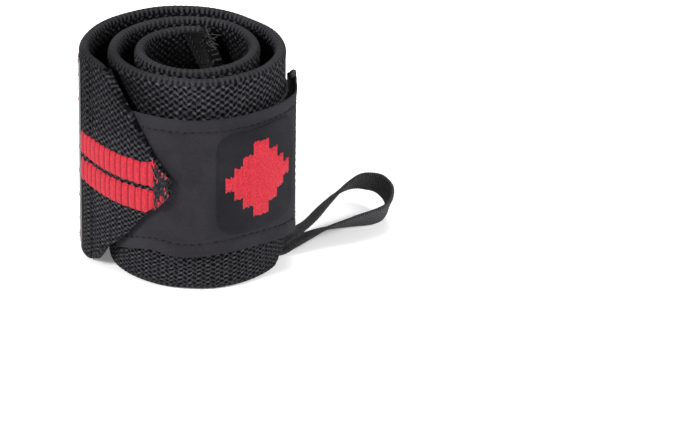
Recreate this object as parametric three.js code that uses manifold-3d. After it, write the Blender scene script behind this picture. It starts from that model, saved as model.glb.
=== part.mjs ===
// A rolled-up elastic wrist wrap: a knitted band wound in a spiral, its closing tab stuck down
// round the outside and its thumb loop lying out to one side.
// Millimetres, +Z up, -Y the side with the tapered end, the roll standing on z = 0,
// with the middle of its footprint, thumb loop included, at the origin.
// The pieces are shaped round the roll's own axis and moved into that frame at the end.
// Turn angles are in degrees, counter-clockwise seen from above, and keep counting up from turn to turn.
import * as THREE from "three";
import Module from "manifold-3d";

const BAND_WIDTH = 76;
const BAND_THICKNESS = 3.7;
const TURN_GAP = 4.7; // air between one turn and the next
const START_RADIUS = 15.1; // outer face of the first turn at angle 0
const INNER_END = -100; // turn angle of the lowest corner of the slanted inner end
const SLANT_END = 76; // turn angle of its upper corner
const PIECE_GAP = 0.3; // air between two pieces that are sewn or stuck together
const EDGE_ROUND = 1.2; // rounding of the knitted selvedges

const LOOP_PATCH_LENGTH = 134;
const LOOP_PATCH_HEIGHT = 46;
const LOOP_PATCH_THICKNESS = 0.6;
const LOOP_PATCH_FROM_TIP = 106;
const HOOK_PAD_HEIGHT = 47;
const HOOK_PAD_THICKNESS = 0.5;
const TAB_HEIGHT = 50;
const TAB_THICKNESS = 0.8;
const TAB_ROOT = 574; // turn angle of the tab's sewn end
const TAB_END = 739; // turn angle of its loose end
const STRIPE_HEIGHT = 8.2;
const STRIPE_SPACING = 9.3; // between the middles of the two stripes
const STRIPE_THICKNESS = 0.5;
const LABEL_WIDTH = 19;
const LABEL_HEIGHT = 68;
const LABEL_THICKNESS = 0.4;
const LABEL_FROM_TIP = 42;
const EMBLEM_WIDTH = 33;
const EMBLEM_HEIGHT = 37;
const EMBLEM_THICKNESS = 0.4;
const MOTIF_WIDTH = 27;
const MOTIF_HEIGHT = 26;
const MOTIF_THICKNESS = 0.4;
const BINDING_WIDTH = 7;
const BINDING_THICKNESS = 0.9;
const STRAP_WIDTH = 10;
const STRAP_THICKNESS = 1;
const LOOP_REACH = 80; // from the strap's root to the far end of the thumb loop
const LOOP_OPENING = 13; // across the thumb loop, seen from above
const LOOP_HEADING = 24; // degrees from +X in which the thumb loop lies

const MIDDLE = BAND_WIDTH * 0.505; // height of the stripes and of the tab
const PITCH = BAND_THICKNESS + TURN_GAP;
// how far the lower selvedge rides up over the strap
const NOTCH_HEIGHT = 2 * STRAP_THICKNESS + 3 * PIECE_GAP;
const turnStep = 5; // degrees of turn between two stations of a wound sheet

// turn angle, how far the outer face stands off an even spiral as a share of TURN_GAP
const BULGE = [
  [-110, 0.02],
  [40, 0.02],
  [90, 0],
  [180, -0.15],
  [270, 0.04],
  [360, -0.1],
  [450, 0.02],
  [540, -0.06],
  [585, -0.14],
  [615, -0.14],
  [645, 0],
  [690, 0],
  [720, -0.04],
  [745, -0.16],
  [765, -0.26],
  [790, -0.05],
  [810, 0.15],
  [830, 0.25],
  [870, 0.27],
  [893, 0.27],
  [930, 0.3],
];
// turn angle, share of the hook pad under the end, its thickness where it is folded double
// and where it is single (shares of BAND_THICKNESS), standoff (share of TURN_GAP)
const END_LAYERS = [
  [850, 0, 1.3, 1, 0.45],
  [893, 0, 1.3, 0.95, 0.57],
  [907, 0, 1.25, 0.8, 0.42],
  [918, 0, 1.1, 0.68, 0.15],
  [931, 0.05, 0.92, 0.55, 0.02],
  [950, 0.4, 0.7, 0.42, 0],
  [967, 0.9, 0.62, 0.38, 0],
  [990, 1, 0.6, 0.38, 0],
];
// turn angle, upper and lower edge of the band as shares of BAND_WIDTH
const OUTLINE = [
  [-100, 0.1, 0],
  [-50, 0.345, 0],
  [0, 0.59, 0],
  [30, 0.735, 0],
  [48, 0.825, 0],
  [62, 0.905, 0],
  [SLANT_END, 1, 0],
  [893, 1, 0],
  [900, 1, 0],
  [913, 1, 0.012],
  [922, 1, 0.045],
  [927, 1, 0.085],
  [931, 0.993, 0.125],
  [934, 0.968, 0.15],
  [940, 0.925, 0.178],
  [950, 0.853, 0.25],
  [961, 0.74, 0.352],
  [971, 0.625, 0.418],
  [975, 0.592, 0.452],
  [979, 0.562, 0.492],
];
// turn angle, upper and lower edge of the corner folded behind the upper slope,
// then of the one behind the lower slope, as shares of BAND_WIDTH
const FOLDS = [
  [932, 0.985, 0.9, 0.21, 0.14],
  [938, 0.938, 0.66, 0.4, 0.17],
  [944, 0.9, 0.53, 0.47, 0.205],
  [950, 0.853, 0.54, 0.46, 0.25],
  [961, 0.74, 0.56, 0.45, 0.352],
  [968, 0.66, 0.57, 0.452, 0.4],
  [973, 0.61, 0.58, 0.455, 0.433],
];
// turn angle, distance of the tab off its flat lie as a share of TURN_GAP,
// upper and lower edge off their places as shares of TAB_HEIGHT
const TAB_LIE = [
  [574, 0, -0.01, -0.06],
  [584, 0, -0.01, -0.035],
  [605, 0, 0, 0.02],
  [624, 0, 0, 0],
  [649, 0, 0.005, 0.025],
  [669, 0.02, 0.005, 0.03],
  [685, 0.1, 0, 0.01],
  [700, 0.26, -0.005, -0.015],
  [706, 0.34, -0.004, -0.016],
  [712, 0.22, -0.003, -0.018],
  [720, 0.1, 0, -0.02],
  [730, 0.21, -0.01, -0.015],
  [739, 0.52, -0.02, -0.01],
];
// columns of the motif: where each begins along its width, and its lower and upper ends,
// as shares of MOTIF_WIDTH and MOTIF_HEIGHT
const MOTIF_STEPS = [
  [0, 0.42, 0.58],
  [0.12, 0.3, 0.7],
  [0.24, 0.16, 0.84],
  [0.38, 0, 1],
  [0.62, 0.16, 0.84],
  [0.76, 0.3, 0.7],
  [0.88, 0.42, 0.58],
];
// the strap's middle line from one end, round the loop and back: along LOOP_HEADING (share of
// LOOP_REACH), across it (share of LOOP_OPENING), height of the strap's middle (share of
// STRAP_WIDTH), lean of the strap from flat in degrees
const STRAP_PATH = [
  [-0.06, 0.02, 0.06, 0],
  [0.05, 0, 0.06, 0],
  [0.16, -0.03, 0.06, 0],
  [0.32, -0.09, 0.06, 0],
  [0.42, -0.12, 0.06, 0],
  [0.47, -0.11, 0.13, 8],
  [0.54, -0.06, 0.21, 17],
  [0.64, 0, 0.335, 28],
  [0.77, -0.06, 0.45, 43],
  [0.89, -0.08, 0.5, 57],
  [0.955, 0.08, 0.6, 60],
  [0.99, 0.42, 0.84, 60],
  [0.975, 0.76, 1.07, 58],
  [0.93, 0.94, 1.17, 56],
  [0.87, 1.02, 1.18, 50],
  [0.79, 0.88, 1.06, 41],
  [0.7, 0.62, 0.83, 33],
  [0.6, 0.28, 0.55, 27],
  [0.515, 0.13, 0.36, 17],
  [0.46, 0.09, 0.26, 7],
  [0.415, 0.06, 0.195, 0],
  [0.32, 0.02, 0.195, 0],
  [0.16, 0.02, 0.195, 0],
  [0.05, 0.02, 0.195, 0],
  [-0.055, 0.02, 0.195, 0],
];

const rad = (degrees) => (degrees * Math.PI) / 180;
const clamp = (v, lo, hi) => Math.min(hi, Math.max(lo, v));
const ease = (t) => {
  const k = clamp(t, 0, 1);
  return k * k * (3 - 2 * k);
};

// The column of a table at a, by straight lines.
function straight(table, a, column) {
  if (a <= table[0][0]) return table[0][column];
  for (let i = 1; i < table.length; i++)
    if (a <= table[i][0]) {
      const [p, q] = [table[i - 1], table[i]];
      return p[column] + ((q[column] - p[column]) * (a - p[0])) / (q[0] - p[0]);
    }
  return table.at(-1)[column];
}

// The column of a table at a, by a smooth curve through its rows.
function smooth(table, a, column) {
  const n = table.length;
  if (a <= table[0][0]) return table[0][column];
  if (a >= table[n - 1][0]) return table[n - 1][column];
  let i = 0;
  while (table[i + 1][0] < a) i++;
  const slope = (j) => {
    const p = table[Math.max(0, j - 1)],
      q = table[Math.min(n - 1, j + 1)];
    return (q[column] - p[column]) / (q[0] - p[0]);
  };
  const h = table[i + 1][0] - table[i][0],
    t = (a - table[i][0]) / h;
  return (
    (2 * t ** 3 - 3 * t * t + 1) * table[i][column] +
    (t ** 3 - 2 * t * t + t) * h * slope(i) +
    (3 * t * t - 2 * t ** 3) * table[i + 1][column] +
    (t ** 3 - t * t) * h * slope(i + 1)
  );
}

// Outer face of the even part of the spiral.
const turnRadius = (a) =>
  START_RADIUS + (PITCH * a) / 360 + smooth(BULGE, a, 1) * TURN_GAP;

// Everything stacked between the turn below and the inner side of the tab.
const underTab = (a) =>
  2 * PIECE_GAP +
  LOOP_PATCH_THICKNESS +
  smooth(END_LAYERS, a, 1) * (HOOK_PAD_THICKNESS + PIECE_GAP);

// Outer face of the band, the last part of which lies over the tab.
function bandRadius(a) {
  const lapFrom = 860,
    lapRamp = 45;
  if (a < lapFrom) return turnRadius(a);
  const over =
    turnRadius(a - 360) +
    underTab(a) +
    TAB_THICKNESS +
    PIECE_GAP +
    smooth(END_LAYERS, a, 2) * BAND_THICKNESS +
    smooth(END_LAYERS, a, 4) * TURN_GAP;
  return THREE.MathUtils.lerp(
    turnRadius(a),
    over,
    ease((a - lapFrom) / lapRamp),
  );
}
const bandThickness = (a) => smooth(END_LAYERS, a, 3) * BAND_THICKNESS;
const tabRadius = (a) =>
  turnRadius(a) + underTab(a + 360) + straight(TAB_LIE, a, 1) * TURN_GAP;

// Turn angle at a distance along the band before its tip.
const TIP = OUTLINE.at(-1)[0];
function angleBeforeTip(distance) {
  const step = 0.25;
  let a = TIP,
    run = 0;
  while (run < distance && a > 0) {
    run += rad(step) * (bandRadius(a) - bandThickness(a) / 2);
    a -= step;
  }
  return a;
}

const at = (a, r, z) => [r * Math.cos(rad(a)), r * Math.sin(rad(a)), z];

// Strap coordinates: along the loop's heading and across it,
// from the strap's root under the band's inner corner.
const heading = [Math.cos(rad(LOOP_HEADING)), Math.sin(rad(LOOP_HEADING))];
const rootRadius = turnRadius(INNER_END) - BAND_THICKNESS / 2;
const root = at(INNER_END, rootRadius, 0);
const strapPoint = (u, v, z) => [
  root[0] + heading[0] * u - heading[1] * v,
  root[1] + heading[1] * u + heading[0] * v,
  z,
];

// How far the lower selvedge is lifted where it passes over the strap.
function notch(a) {
  const clearance = 0.8,
    ramp = 5;
  // The doubled strap under the roll: its length, how far it drifts and widens along it,
  // and how far it runs on behind its root.
  const doubled = 0.44 * LOOP_REACH,
    drift = -0.035 * LOOP_OPENING,
    spread = 0.11 * LOOP_OPENING,
    behind = 0.06 * LOOP_REACH;
  let nearest = Infinity;
  for (const share of [0, 0.5, 1]) {
    const [x, y] = at(a, bandRadius(a) - share * bandThickness(a), 0);
    const u = (x - root[0]) * heading[0] + (y - root[1]) * heading[1],
      v = (y - root[1]) * heading[0] - (x - root[0]) * heading[1];
    const along = clamp(u / doubled, 0, 1);
    const half = STRAP_WIDTH / 2 + spread * along;
    const dv = Math.max(0, Math.abs(v - drift * along) - half),
      du = Math.max(0, -behind - u);
    nearest = Math.min(nearest, Math.hypot(du, dv));
  }
  return NOTCH_HEIGHT * ease(1 - (nearest - clearance) / ramp);
}

// A closed body through loops of points, one loop per station;
// flatFirst and flatLast are the first and last loops as 2-D outlines for the ends.
function sweep(loops, flatFirst, flatLast) {
  const m = loops[0].length,
    position = loops.flat(2),
    index = [];
  for (let i = 0; i + 1 < loops.length; i++)
    for (let j = 0; j < m; j++) {
      const k = (j + 1) % m,
        a = i * m + j,
        b = i * m + k,
        c = (i + 1) * m + k,
        d = (i + 1) * m + j;
      index.push(a, b, c, a, c, d);
    }
  // One end of the body; forward when its triangles run the same way round as the loop.
  const cap = (flat, from, forward) => {
    const outline = flat.map(([x, y]) => new THREE.Vector2(x, y));
    const loopTurn = Math.sign(THREE.ShapeUtils.area(outline));
    for (const [p, q, r] of THREE.ShapeUtils.triangulateShape(outline, [])) {
      const turn = Math.sign(
        THREE.ShapeUtils.area([outline[p], outline[q], outline[r]]),
      );
      const same = turn === loopTurn;
      index.push(
        ...(same === forward ? [p, q, r] : [p, r, q]).map((v) => from + v),
      );
    }
  };
  cap(flatFirst, 0, false);
  cap(flatLast, (loops.length - 1) * m, true);
  let volume = 0;
  const p = (i) => new THREE.Vector3().fromArray(position, i * 3);
  for (let i = 0; i < index.length; i += 3)
    volume += p(index[i]).dot(p(index[i + 1]).cross(p(index[i + 2])));
  if (volume < 0)
    for (let i = 0; i < index.length; i += 3)
      [index[i + 1], index[i + 2]] = [index[i + 2], index[i + 1]];
  const geometry = new THREE.BufferGeometry();
  geometry.setAttribute(
    "position",
    new THREE.Float32BufferAttribute(position, 3),
  );
  geometry.setIndex(index);
  return geometry;
}

// Turn angles from one to another in even steps of about step degrees,
// with the extra ones that fall between.
function stations(from, to, step, extra = []) {
  const n = Math.max(1, Math.round((to - from) / step));
  const even = Array.from(
    { length: n + 1 },
    (_, i) => from + ((to - from) * i) / n,
  );
  const kept = extra.filter((a) => a > from + 0.6 && a < to - 0.6);
  return [
    ...even.filter(
      (a, i) =>
        i === 0 || i === n || kept.every((b) => Math.abs(a - b) > 0.45 * step),
    ),
    ...kept,
  ].sort((a, b) => a - b);
}

// A sheet wound round the roll: side(a) gives its inner and outer radius,
// edges(a) its lower and upper edge; round is the rounding of its long edges.
function wound(angles, side, edges, round = 0) {
  const flat = angles.map((a) => {
    const [inner, outer] = side(a),
      [lower, upper] = edges(a);
    const c = Math.min(round, 0.45 * (outer - inner), 0.45 * (upper - lower));
    if (c <= 0.01)
      return [
        [inner, lower],
        [outer, lower],
        [outer, upper],
        [inner, upper],
      ];
    const corners = [
      [outer - c, lower + c, -90],
      [outer - c, upper - c, 0],
      [inner + c, upper - c, 90],
      [inner + c, lower + c, 180],
    ];
    return corners.flatMap(([r, z, turn]) =>
      [0, 45, 90].map((d) => [
        r + c * Math.cos(rad(turn + d)),
        z + c * Math.sin(rad(turn + d)),
      ]),
    );
  });
  return sweep(
    flat.map((loop, i) => loop.map(([r, z]) => at(angles[i], r, z))),
    flat[0],
    flat.at(-1),
  );
}

const wasm = await Module();
wasm.setup();
function solidOf(geometry) {
  return new wasm.Manifold(
    new wasm.Mesh({
      numProp: 3,
      vertProperties: geometry.getAttribute("position").array,
      triVerts: new Uint32Array(geometry.index.array),
    }),
  );
}
function geometryOf(solid) {
  const mesh = solid.getMesh();
  const n = mesh.numProp;
  const position = new Float32Array(mesh.numVert * 3);
  for (let i = 0; i < mesh.numVert; i++)
    position.set(mesh.vertProperties.subarray(i * n, i * n + 3), i * 3);
  const geometry = new THREE.BufferGeometry();
  geometry.setAttribute("position", new THREE.BufferAttribute(position, 3));
  geometry.setIndex(new THREE.BufferAttribute(mesh.triVerts, 1));
  return geometry;
}

const wrap = new THREE.Group();
wrap.name = "wrist_wrap";
const CHARCOAL = 0x38383b,
  SMOOTH = 0x333238,
  RED = 0xd8404e,
  BLACK = 0x1d1d20;
function add(name, geometry, color) {
  geometry.computeVertexNormals();
  const mesh = new THREE.Mesh(
    geometry,
    new THREE.MeshStandardMaterial({ color, roughness: 0.95 }),
  );
  mesh.name = name;
  wrap.add(mesh);
}

// The band, with its two end corners folded behind its tapered end.
const band = wound(
  stations(
    INNER_END,
    TIP,
    turnStep,
    OUTLINE.map((row) => row[0]),
  ),
  (a) => [bandRadius(a) - bandThickness(a), bandRadius(a)],
  (a) => [
    Math.max(BAND_WIDTH * straight(OUTLINE, a, 2), notch(a)),
    BAND_WIDTH * straight(OUTLINE, a, 1),
  ],
  EDGE_ROUND,
);
const overlap = 0.3; // how deep a folded corner is set into the layer in front of it
const foldSide = (a) => [
  bandRadius(a) - smooth(END_LAYERS, a, 2) * BAND_THICKNESS,
  bandRadius(a) - bandThickness(a) + overlap,
];
const foldAngles = stations(
  FOLDS[0][0],
  FOLDS.at(-1)[0],
  turnStep,
  FOLDS.map((row) => row[0]),
);
const folded = [
  [2, 1],
  [4, 3],
].map(([lower, upper]) =>
  wound(foldAngles, foldSide, (a) => [
    BAND_WIDTH * straight(FOLDS, a, lower),
    BAND_WIDTH * straight(FOLDS, a, upper),
  ]),
);
add(
  "elastic_band",
  geometryOf(wasm.Manifold.union([band, ...folded].map(solidOf))),
  CHARCOAL,
);

// The soft half of the closure, sewn flat on the outer face.
const patchEnd = angleBeforeTip(LOOP_PATCH_FROM_TIP);
const patchStart = angleBeforeTip(LOOP_PATCH_FROM_TIP + LOOP_PATCH_LENGTH);
add(
  "loop_patch",
  wound(
    stations(patchStart, patchEnd, turnStep),
    (a) => [
      turnRadius(a) + PIECE_GAP,
      turnRadius(a) + PIECE_GAP + LOOP_PATCH_THICKNESS,
    ],
    () => [MIDDLE - LOOP_PATCH_HEIGHT / 2, MIDDLE + LOOP_PATCH_HEIGHT / 2],
  ),
  BLACK,
);

// The closing tab and the hook side on its back.
const tabCornerTurn = 2.5; // degrees of turn that the loose end's rounded corners take up
const tabCornerRise = 2;
const tabEdges = (a) => {
  const corner = clamp((TAB_END - a) / tabCornerTurn, 0, 1);
  const rounding = (1 - Math.sqrt(corner * (2 - corner))) * tabCornerRise;
  return [
    MIDDLE + TAB_HEIGHT * (straight(TAB_LIE, a, 3) - 0.5) + rounding,
    MIDDLE + TAB_HEIGHT * (straight(TAB_LIE, a, 2) + 0.5) - rounding,
  ];
};
add(
  "closing_tab",
  wound(
    stations(TAB_ROOT, TAB_END, turnStep, [
      TAB_END - tabCornerTurn,
      TAB_END - 1.2,
    ]),
    (a) => [tabRadius(a), tabRadius(a) + TAB_THICKNESS],
    tabEdges,
  ),
  SMOOTH,
);
const hookFromRoot = 42; // degrees of turn from the tab's root, and from its loose end
const hookFromEnd = 3;
add(
  "hook_pad",
  wound(
    stations(TAB_ROOT + hookFromRoot, TAB_END - hookFromEnd, turnStep),
    (a) => [
      tabRadius(a) - PIECE_GAP - HOOK_PAD_THICKNESS,
      tabRadius(a) - PIECE_GAP,
    ],
    () => [MIDDLE - HOOK_PAD_HEIGHT / 2, MIDDLE + HOOK_PAD_HEIGHT / 2],
  ),
  BLACK,
);

// The woven patch on the tab and the motif on it.
const emblemPlace = 0.6; // share of the tab from its root
const emblemMiddle = THREE.MathUtils.lerp(TAB_ROOT, TAB_END, emblemPlace);
const emblemHeight = MIDDLE + EMBLEM_HEIGHT * 0.03;
const tabFace = (a) => tabRadius(a) + TAB_THICKNESS;
const degreesOnTab = (length) =>
  (length / tabFace(emblemMiddle)) * (180 / Math.PI);
const emblemHalf = degreesOnTab(EMBLEM_WIDTH) / 2;
const emblemCorner = (a) => {
  const reach = 0.22 * emblemHalf * 2;
  const inside = clamp((emblemHalf - Math.abs(a - emblemMiddle)) / reach, 0, 1);
  return (1 - Math.sqrt(inside * (2 - inside))) * 0.16 * EMBLEM_HEIGHT;
};
add(
  "emblem_patch",
  wound(
    stations(emblemMiddle - emblemHalf, emblemMiddle + emblemHalf, 3),
    (a) => [
      tabFace(a) + PIECE_GAP,
      tabFace(a) + PIECE_GAP + EMBLEM_THICKNESS,
    ],
    (a) => [
      emblemHeight - EMBLEM_HEIGHT / 2 + emblemCorner(a),
      emblemHeight + EMBLEM_HEIGHT / 2 - emblemCorner(a),
    ],
  ),
  BLACK,
);
const motifHalf = degreesOnTab(MOTIF_WIDTH) / 2;
const motifAngle = (share) => emblemMiddle + (2 * share - 1) * motifHalf;
const motifRows = MOTIF_STEPS.flatMap(([start, lower, upper], i) => {
  const end = i + 1 < MOTIF_STEPS.length ? MOTIF_STEPS[i + 1][0] : 1;
  const riser = 0.006;
  return [
    [motifAngle(start + (i ? riser : 0)), lower, upper],
    [motifAngle((start + end) / 2), lower, upper],
    [motifAngle(end - (i + 1 < MOTIF_STEPS.length ? riser : 0)), lower, upper],
  ];
});
const motifBase = emblemHeight - MOTIF_HEIGHT / 2;
add(
  "emblem_motif",
  wound(
    motifRows.map((row) => row[0]),
    (a) => [
      tabFace(a) + 2 * PIECE_GAP + EMBLEM_THICKNESS,
      tabFace(a) + 2 * PIECE_GAP + EMBLEM_THICKNESS + MOTIF_THICKNESS,
    ],
    (a) => [
      motifBase + MOTIF_HEIGHT * straight(motifRows, a, 1),
      motifBase + MOTIF_HEIGHT * straight(motifRows, a, 2),
    ],
  ),
  RED,
);

// The label round the outer face, and the two ribbed stripes before and after it.
const labelEnd = angleBeforeTip(LABEL_FROM_TIP);
const labelStart = angleBeforeTip(LABEL_FROM_TIP + LABEL_WIDTH);
add(
  "woven_label",
  wound(
    stations(labelStart, labelEnd, turnStep),
    (a) => [
      bandRadius(a) + PIECE_GAP,
      bandRadius(a) + PIECE_GAP + LABEL_THICKNESS,
    ],
    () => [(BAND_WIDTH - LABEL_HEIGHT) / 2, (BAND_WIDTH + LABEL_HEIGHT) / 2],
  ),
  BLACK,
);
const stripeMargin = 1.2; // degrees of turn left free at the patch and the label
const stripeEnd = 969; // turn angle where the front stripes end, short of the tip
for (const [part, from, to] of [
  ["back", patchEnd + stripeMargin, labelStart - stripeMargin],
  ["front", labelEnd + stripeMargin, stripeEnd],
])
  for (const [name, side] of [
    ["stripe_upper_", 1],
    ["stripe_lower_", -1],
  ])
    add(
      name + part,
      wound(
        stations(from, to, turnStep),
        (a) => [
          bandRadius(a) + PIECE_GAP,
          bandRadius(a) + PIECE_GAP + STRIPE_THICKNESS,
        ],
        () => {
          const middle = MIDDLE + (side * STRIPE_SPACING) / 2;
          return [middle - STRIPE_HEIGHT / 2, middle + STRIPE_HEIGHT / 2];
        },
      ),
      RED,
    );

// The binding folded round the slanted inner end: one outline in plan per height.
const slant = OUTLINE.filter((row) => row[0] <= SLANT_END).map(([a, upper]) => [
  upper,
  a,
]);
const bindingFrom = NOTCH_HEIGHT + PIECE_GAP,
  bindingTo = BAND_WIDTH - 0.5;
const bindingLegs = 6;
const bindingStep = 3.2;
const foldClearance = 2.5 * PIECE_GAP; // between the band's cut edge and the binding's fold
const bindingHeights = stations(
  bindingFrom,
  bindingTo,
  bindingStep,
  slant.map((row) => row[0] * BAND_WIDTH),
);
const bindingLoops = bindingHeights.map((z) => {
  const edge = straight(slant, z / BAND_WIDTH, 1);
  const degrees = (length) =>
    (length / (turnRadius(edge) - BAND_THICKNESS / 2)) * (180 / Math.PI);
  const front = edge - degrees(foldClearance + BINDING_THICKNESS),
    inside = edge - degrees(foldClearance),
    back = edge + degrees(BINDING_WIDTH);
  const leg = (from, to, offset) =>
    Array.from({ length: bindingLegs + 1 }, (_, k) => {
      const a = THREE.MathUtils.lerp(from, to, k / bindingLegs);
      return at(a, turnRadius(a) + offset, z);
    });
  return [
    ...leg(back, front, PIECE_GAP + BINDING_THICKNESS),
    ...leg(front, back, -BAND_THICKNESS - PIECE_GAP - BINDING_THICKNESS),
    ...leg(back, inside, -BAND_THICKNESS - PIECE_GAP),
    ...leg(inside, back, PIECE_GAP),
  ];
});
add(
  "end_binding",
  sweep(bindingLoops, bindingLoops[0], bindingLoops.at(-1)),
  BLACK,
);

// The thumb loop: one strap laid double under the roll and opened into a loop beside it.
const strapCurve = (column, scale) =>
  STRAP_PATH.map((row, i) => [i, row[column] * scale]);
const [alongs, acrosses, heights, leans] = [
  strapCurve(0, LOOP_REACH),
  strapCurve(1, LOOP_OPENING),
  strapCurve(2, STRAP_WIDTH),
  strapCurve(3, 1),
];
const strapMiddle = (t) =>
  new THREE.Vector3(
    ...strapPoint(
      smooth(alongs, t, 1),
      smooth(acrosses, t, 1),
      smooth(heights, t, 1),
    ),
  );
const strapCorners = [
  [-1, -1],
  [1, -1],
  [1, 1],
  [-1, 1],
];
const substeps = 4; // stations per row of STRAP_PATH
const strapSteps = (STRAP_PATH.length - 1) * substeps;
const strapLoops = Array.from({ length: strapSteps + 1 }, (_, i) => {
  const t = i / substeps;
  const middle = strapMiddle(t);
  const tangent = strapMiddle(Math.min(t + 0.05, STRAP_PATH.length - 1))
    .sub(strapMiddle(Math.max(t - 0.05, 0)))
    .normalize();
  const lean = rad(smooth(leans, t, 1));
  const across = new THREE.Vector3(
    heading[1] * Math.cos(lean),
    -heading[0] * Math.cos(lean),
    Math.sin(lean),
  );
  across.addScaledVector(tangent, -across.dot(tangent)).normalize();
  const normal = new THREE.Vector3().crossVectors(tangent, across);
  return strapCorners.map(([p, q]) => {
    const corner = middle
      .clone()
      .addScaledVector(across, (p * STRAP_WIDTH) / 2)
      .addScaledVector(normal, (q * STRAP_THICKNESS) / 2);
    return corner.toArray();
  });
});
add("thumb_loop", sweep(strapLoops, strapCorners, strapCorners), SMOOTH);

const extent = new THREE.Box3().setFromObject(wrap, true);
const footprint = extent.getCenter(new THREE.Vector3());
wrap.position.set(-footprint.x, -footprint.y, -extent.min.z);

export default wrap;
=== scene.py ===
"""A rolled-up elastic wrist wrap, dressed: knitted band, red ribbed stripes, closing tab, woven patch,
label, binding and thumb loop."""
import bpy
import math
import numpy as np
from mathutils import Matrix, Vector


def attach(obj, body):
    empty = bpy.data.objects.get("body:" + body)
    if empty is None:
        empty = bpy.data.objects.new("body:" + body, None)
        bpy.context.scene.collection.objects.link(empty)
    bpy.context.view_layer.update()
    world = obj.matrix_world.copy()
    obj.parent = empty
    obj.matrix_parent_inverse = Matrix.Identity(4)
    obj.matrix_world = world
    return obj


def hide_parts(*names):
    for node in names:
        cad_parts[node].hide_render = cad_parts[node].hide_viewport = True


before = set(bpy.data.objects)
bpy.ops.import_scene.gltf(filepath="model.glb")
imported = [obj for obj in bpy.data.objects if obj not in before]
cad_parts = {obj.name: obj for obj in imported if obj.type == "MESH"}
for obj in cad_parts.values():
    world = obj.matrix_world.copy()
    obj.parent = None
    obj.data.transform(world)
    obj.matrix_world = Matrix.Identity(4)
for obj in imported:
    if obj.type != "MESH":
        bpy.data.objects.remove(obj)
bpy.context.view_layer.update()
bpy.context.scene.view_settings.view_transform = "Standard"

# Sizes in millimetres, as the solids have them; the roll's own axis stands at AXIS.
AXIS = (-16.0376, -1.0029)
BAND_WIDTH, BAND_THICKNESS, TURN_GAP, START_RADIUS = 76.0, 3.7, 4.7, 15.1
PIECE_GAP = 0.3
PATCH_T, HOOK_T, TAB_T = 0.6, 0.5, 0.8
PATCH_FROM_TIP, PATCH_LENGTH, PATCH_HEIGHT = 106, 134, 46
TAB_HEIGHT, HOOK_HEIGHT = 50.0, 47
LABEL_FROM_TIP, LABEL_WIDTH, LABEL_HEIGHT = 42, 19, 68
EMBLEM_WIDTH, EMBLEM_HEIGHT = 33, 37
STRIPE_HALF, STRIPE_SPACING = 4.1, 9.3
BINDING_REACH, BOUND_HEIGHTS = 7, np.linspace(3.2, 75.3, 70)
MIDDLE = BAND_WIDTH * 0.505
PITCH = BAND_THICKNESS + TURN_GAP
STRAP_WIDTH, STRAP_T = 10.0, 1.0
LOOP_REACH, LOOP_OPENING, LOOP_HEADING = 80.0, 13.0, math.radians(24)
KNIT_COLUMN, KNIT_ROW, LOOPS_PER_COLUMN = 2.9, 1.55, 1.6
# turn angles in degrees
INNER_END, SLANT_END, TIP = -100.0, 76.0, 979.0
TAB_ROOT, TAB_END = 574.0, 739.0
LAP_FROM, LAP_RAMP = 860, 45  # where the end begins to climb over the tab, and how long it takes
SWELL, CREASE = 911.5, 917  # where the band swells and is creased before its folded corners

# turn angle, stand-off of the outer face from an even spiral (share of TURN_GAP)
BULGE = np.array([
    [-110, .02], [40, .02], [90, 0], [180, -.15], [270, .04], [360, -.1], [450, .02], [540, -.06],
    [585, -.14], [615, -.14], [645, 0], [690, 0], [720, -.04], [745, -.16], [765, -.26], [790, -.05],
    [810, .15], [830, .25], [870, .27], [893, .27], [930, .3]])
# turn angle, share of the hook pad below, thickness folded double and single (shares of
# BAND_THICKNESS), stand-off (share of TURN_GAP)
END_LAYERS = np.array([
    [850, 0, 1.3, 1, .45], [893, 0, 1.3, .95, .57], [907, 0, 1.25, .8, .42], [918, 0, 1.1, .68, .15],
    [931, .05, .92, .55, .02], [950, .4, .7, .42, 0], [967, .9, .62, .38, 0], [990, 1, .6, .38, 0]])
# turn angle, upper and lower edge of the band (shares of BAND_WIDTH)
OUTLINE = np.array([
    [-100, .1, 0], [-50, .345, 0], [0, .59, 0], [30, .735, 0], [48, .825, 0], [62, .905, 0], [76, 1, 0],
    [893, 1, 0], [900, 1, 0], [913, 1, .012], [922, 1, .045], [927, 1, .085], [931, .993, .125],
    [934, .968, .15], [940, .925, .178], [950, .853, .25], [961, .74, .352], [971, .625, .418],
    [975, .592, .452], [979, .562, .492]])
# turn angle, lift of the tab (share of TURN_GAP), upper and lower edge off their places (shares
# of TAB_HEIGHT)
TAB_LIE = np.array([
    [574, 0, -.01, -.06], [584, 0, -.01, -.035], [605, 0, 0, .02], [624, 0, 0, 0], [649, 0, .005, .025],
    [669, .02, .005, .03], [685, .1, 0, .01], [700, .26, -.005, -.015], [706, .34, -.004, -.016],
    [712, .22, -.003, -.018], [720, .1, 0, -.02], [730, .21, -.01, -.015], [739, .52, -.02, -.01]])
# the strap: along and across the loop's heading (shares of LOOP_REACH and LOOP_OPENING), height
# (share of STRAP_WIDTH), lean in degrees
STRAP = np.array([
    [-.06, .02, .06, 0], [.05, 0, .06, 0], [.16, -.03, .06, 0], [.32, -.09, .06, 0],
    [.42, -.12, .06, 0], [.47, -.11, .13, 8], [.54, -.06, .21, 17], [.64, 0, .335, 28],
    [.77, -.06, .45, 43], [.89, -.08, .5, 57], [.955, .08, .6, 60], [.99, .42, .84, 60],
    [.975, .76, 1.07, 58], [.93, .94, 1.17, 56], [.87, 1.02, 1.18, 50], [.79, .88, 1.06, 41],
    [.7, .62, .83, 33], [.6, .28, .55, 27], [.515, .13, .36, 17], [.46, .09, .26, 7],
    [.415, .06, .195, 0], [.32, .02, .195, 0], [.16, .02, .195, 0], [.05, .02, .195, 0],
    [-.055, .02, .195, 0]])
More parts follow.
